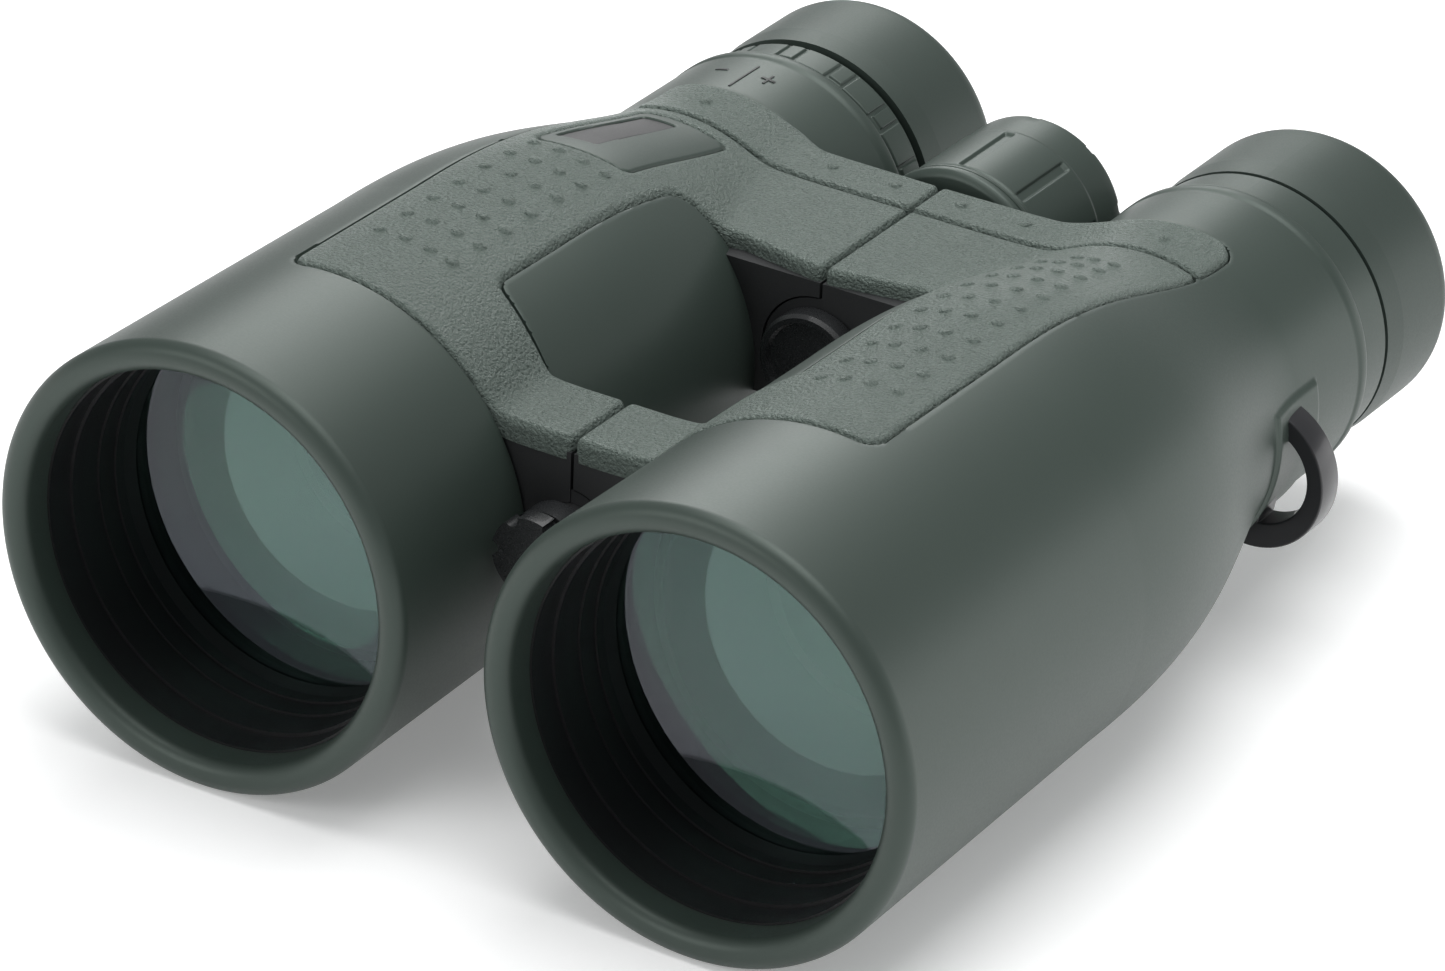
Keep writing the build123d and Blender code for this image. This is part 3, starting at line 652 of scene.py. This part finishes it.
# ---- Prism cages, focusing cells and eyepiece tubes ----
# Inside each barrel a moulded black cage holds the prisms and guides the focusing lens, and the
# eyepiece tube screws in behind it. All are fine matt black plastic, so no light strays.
inner_black = finish_of("inner_black", (0.012, 0.012, 0.013), 0.68, 0.3, 0.012, spread=0.15)
for side, tag in SIDES:
    for part in ("prism_cage", "focus_cell", "eyepiece_housing", "eyecup_sleeve"):
        paint(f"{part}_{tag}", inner_black)

# ---- Hinge line ----
# A turned steel pin joins the front knuckles and a steel tube joins the rear ones. A drum hides the
# focus carriage between the rear knuckles, and a glossy dished cap closes the tube's front end.
pin_steel = finish_of("pin_steel", (0.3, 0.3, 0.31), 0.3, 0.3, 0.01, turned=0.3, metal=1.0)
screw_brass = finish_of("screw_brass", (0.55, 0.42, 0.18), 0.3, 0.3, 0.02, turned=0.7, metal=1.0)
carriage_alloy = finish_of(
    "carriage_alloy", (0.45, 0.45, 0.47), 0.35, 0.3, 0.01, turned=0.4, metal=1.0
)
cap_black = finish_of(
    "cap_black", (0.014, 0.015, 0.016), 0.28, 0.3, 0.004, spread=0.2, Coat_Weight=0.25
)
for part, material in (
    ("front_hinge_pin", pin_steel),
    ("rear_hinge_tube", pin_steel),
    ("carriage_drum", inner_black),
    ("hinge_cap", cap_black),
    ("focus_screw", screw_brass),
    ("focus_carriage", carriage_alloy),
    ("tripod_cap", cap_black),
):
    paint(part, material)

# ---- Focus wheel ----
# The wheel has a moulded hub whose front rim shows as a thin flange, and a satin rubber sleeve with
# shallow straight finger grooves. A disc closes its rear end.
wheel_rubber = finish_of(
    "wheel_rubber", RUBBER_GREEN, 0.42, 0.32, 0.005, spread=0.04, Specular_Tint=GREEN_SHEEN
)
paint("wheel_cap", wheel_rubber)


def turned_piece(name, profile, pattern, middle, rise, columns, side, material, body, node):
    """Ring of (station, radius) rows about an axis; pattern(angle, station) adds to the radius."""
    station = np.repeat([row[0] for row in profile], columns)
    radius = np.repeat([float(row[1]) for row in profile], columns)
    degrees = np.tile(np.arange(columns) * 360 / columns, len(profile))
    radius += pattern(degrees, station)
    turn = np.radians(degrees)
    across, up = radius * np.cos(turn), radius * np.sin(turn)
    points = np.column_stack((middle + across, station, rise + up))
    faces = ring_faces(len(profile), columns)
    make_piece(name, points, faces, side, material, body, (node,), crease=50)


WHEEL_RADIUS = 14.8
WHEEL_END = 165.4
GROOVE_ANGLE = 14.5
GROOVE_PITCH = 40


def wheel_pattern(degrees, station):
    """Nine shallow grooves along the sleeve, each with a small notch behind it in the rear rim."""
    spread = np.abs((degrees - GROOVE_ANGLE + 20) % GROOVE_PITCH - 20) * math.pi / 180
    spread = spread * WHEEL_RADIUS
    groove = -0.5 * ease((1.05 - spread) / 0.5)
    near_groove = ease((station - 142.4) / 0.7) * ease((156.6 - station) / 0.7)
    notch = -0.7 * ease((0.95 - spread) / 0.3) * ease((station - 163.9) / 0.4)
    pad = 0.22 * ease((station - 141.9) / 0.5) * ease((157.4 - station) / 0.5)
    return groove * near_groove + notch * (station < WHEEL_END + 0.01) + pad


wheel_rise = (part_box("wheel_hub")[0].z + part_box("wheel_hub")[1].z) * 500 - axis_height
wheel_rows = [(141.62, 12.6), (141.62, 14.3), (141.7, WHEEL_RADIUS - 0.1)]
wheel_rows += [(station, WHEEL_RADIUS) for station in np.arange(141.9, 158.2, 0.25)]
wheel_rows += [(station, WHEEL_RADIUS) for station in (160.0, 162.0, 163.6)]
wheel_rows += [(164.0, 14.72), (164.4, 14.5), (164.8, 14.2), (165.1, 13.85), (165.3, 13.4)]
wheel_rows += [(WHEEL_END, 13.0), (165.4, 12.4), (165.2, 12.1), (163.4, 12.0), (162.0, 12.0)]
turned_piece(
    "wheel_sleeve",
    wheel_rows,
    wheel_pattern,
    0,
    wheel_rise,
    1080,
    1,
    wheel_rubber,
    "focus_wheel",
    "wheel_grip",
)
rim_rows = [(138.42, 10.0), (138.42, 14.1), (138.6, 14.6), (139.3, 15.25), (139.5, 15.36)]
rim_rows += [(140.3, 15.36), (140.4, 15.2), (140.55, 15.2), (140.65, 15.36), (141.0, 15.36)]
rim_rows += [(141.1, 15.12), (141.25, 15.12), (141.35, 15.2), (141.6, 15.1), (141.6, 12.0)]
turned_piece(
    "wheel_rim",
    rim_rows,
    lambda degrees, station: 0 * degrees,
    0,
    wheel_rise,
    360,
    1,
    wheel_rubber,
    "focus_wheel",
    "wheel_hub",
)

# ---- Eyepiece rings ----
# A rubber-faced ring sits between each barrel and its eyecup. The right one sets the dioptre and
# has raised rectangular segments to grip; the left one is fixed and smooth.
def segment_pattern(degrees, station):
    """Long and short raised segments in turn, parted by narrow grooves."""
    place = (degrees + 5) % 24
    long_one = ease((place - 0.1) / 0.5) * ease((15.1 - place) / 0.5)
    short_one = ease((place - 16.3) / 0.5) * ease((22.9 - place) / 0.5)
    along_long = ease((station - 154.8) / 0.35) * ease((160.4 - station) / 0.35)
    along_short = ease((station - 155.6) / 0.35) * ease((160.4 - station) / 0.35)
    return 0.42 * (long_one * along_long + short_one * along_short)


RING_RADIUS = 22.06
ring_rows = [(153.3, 20.2), (153.3, 21.6), (153.42, 22.1), (153.55, 22.25), (154.2, 22.3)]
ring_rows += [(154.32, 22.2), (154.4, 21.85), (154.55, 21.85), (154.65, RING_RADIUS)]
ring_rows += [(station, RING_RADIUS) for station in np.arange(154.8, 160.7, 0.12)]
ring_rows += [(160.9, 21.9), (161.1, 21.5), (161.45, 21.4), (161.45, 20.2)]
turned_piece(
    "dioptre_grip",
    ring_rows,
    segment_pattern,
    eyepiece_x,
    0,
    1440,
    -1,
    smooth_rubber,
    "dioptre_ring",
    "dioptre_ring",
)
paint("eyepiece_ring", smooth_rubber)

# ---- Eyecups ----
# Soft rubber cups push over the lifting sleeves. They are plain outside, with a rounded rim.
eyecup_rubber = finish_of(
    "eyecup_rubber", (0.026, 0.036, 0.031), 0.5, 0.3, 0.006, spread=0.04, Specular_Tint=GREEN_SHEEN
)
for side, tag in SIDES:
    paint(f"eyecup_{tag}", eyecup_rubber)

# ---- Strap lugs ----
# Glossy black plastic loops, moulded with rounded edges and screwed to the castings.
lug_black = finish_of(
    "lug_black", (0.013, 0.013, 0.015), 0.3, 0.35, 0.006, spread=0.15, Coat_Weight=0.2
)
for side, tag in SIDES:
    paint(f"strap_lug_{tag}", lug_black)
    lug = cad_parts[f"strap_lug_{tag}"]
    weld = lug.modifiers.new("weld", "WELD")
    weld.merge_threshold = 0.00001
    soften = lug.modifiers.new("soften", "BEVEL")
    soften.width = 0.0006
    soften.segments = 3
    soften.limit_method = "ANGLE"
    soften.angle_limit = math.radians(35)

# ---- Floor, light and camera ----
# The binoculars stand on a plain pale floor under soft studio light.
bpy.context.scene.view_settings.view_transform = "Standard"
floor_mesh = bpy.data.meshes.new("floor")
reach = 9.0
floor_mesh.from_pydata(
    [(-reach, -reach, 0), (reach, -reach, 0), (reach, reach, 0), (-reach, reach, 0)],
    [],
    [(0, 1, 2, 3)],
)
floor = bpy.data.objects.new("floor", floor_mesh)
bpy.context.scene.collection.objects.link(floor)
floor_paint = finish_of(
    "floor_paint",
    (0.93, 0.93, 0.93),
    0.8,
    4.0,
    0.05,
    spread=0.01,
    Emission_Color=(1, 1, 1, 1),
    Emission_Strength=0.22,
)
floor_mesh.materials.append(floor_paint)

world = bpy.data.worlds.new("studio")
world.use_nodes = True
world.node_tree.nodes["Background"].inputs["Color"].default_value = (0.97, 0.99, 1.0, 1)
world.node_tree.nodes["Background"].inputs["Strength"].default_value = 0.35
bpy.context.scene.world = world


def softbox(name, place, target, width, height, power):
    """Rectangular area light that faces a target point."""
    lamp = bpy.data.lights.new(name, "AREA")
    lamp.shape = "RECTANGLE"
    lamp.size = width
    lamp.size_y = height
    lamp.energy = power
    holder = bpy.data.objects.new(name, lamp)
    holder.location = place
    aim = Vector(target) - Vector(place)
    holder.rotation_mode = "QUATERNION"
    holder.rotation_quaternion = aim.to_track_quat("-Z", "Y")
    holder.visible_camera = False
    bpy.context.scene.collection.objects.link(holder)


softbox("ceiling", (0.0, 0.1, 1.9), (0, 0.1, 0.0), 1.6, 1.6, 25)
softbox("left_strip", (-0.03, 0.12, 0.29), (0.02, 0.08, 0.05), 0.17, 0.75, 0.72)
softbox("back_panel", (-0.55, 0.91, 0.60), (0, 0, 0.05), 0.5, 0.35, 2.2)
softbox("right_strip", (0.44, 0.35, 0.085), (0.05, 0.3, 0.05), 1.0, 0.15, 0.7)
softbox("front_fill", (-0.6, -1.2, 0.7), (0, 0, 0.03), 0.9, 0.6, 6)

camera = bpy.data.cameras.new("camera")
camera.sensor_width = 36.0
camera.lens = 209.66
camera.shift_x = 0.0019
camera.shift_y = -0.0160
camera.clip_start = 0.05
camera.clip_end = 50
viewer = bpy.data.objects.new("camera", camera)
right = Vector((0.844402, 0.534751, 0.032024))
up = Vector((-0.271337, 0.375382, 0.886265))
back = Vector((0.46191, -0.757053, 0.462071))
viewer.matrix_world = Matrix.Translation((0.565985, -0.945743, 0.600645)) @ Matrix(
    (right, up, back)
).transposed().to_4x4()
bpy.context.scene.collection.objects.link(viewer)
bpy.context.scene.camera = viewer
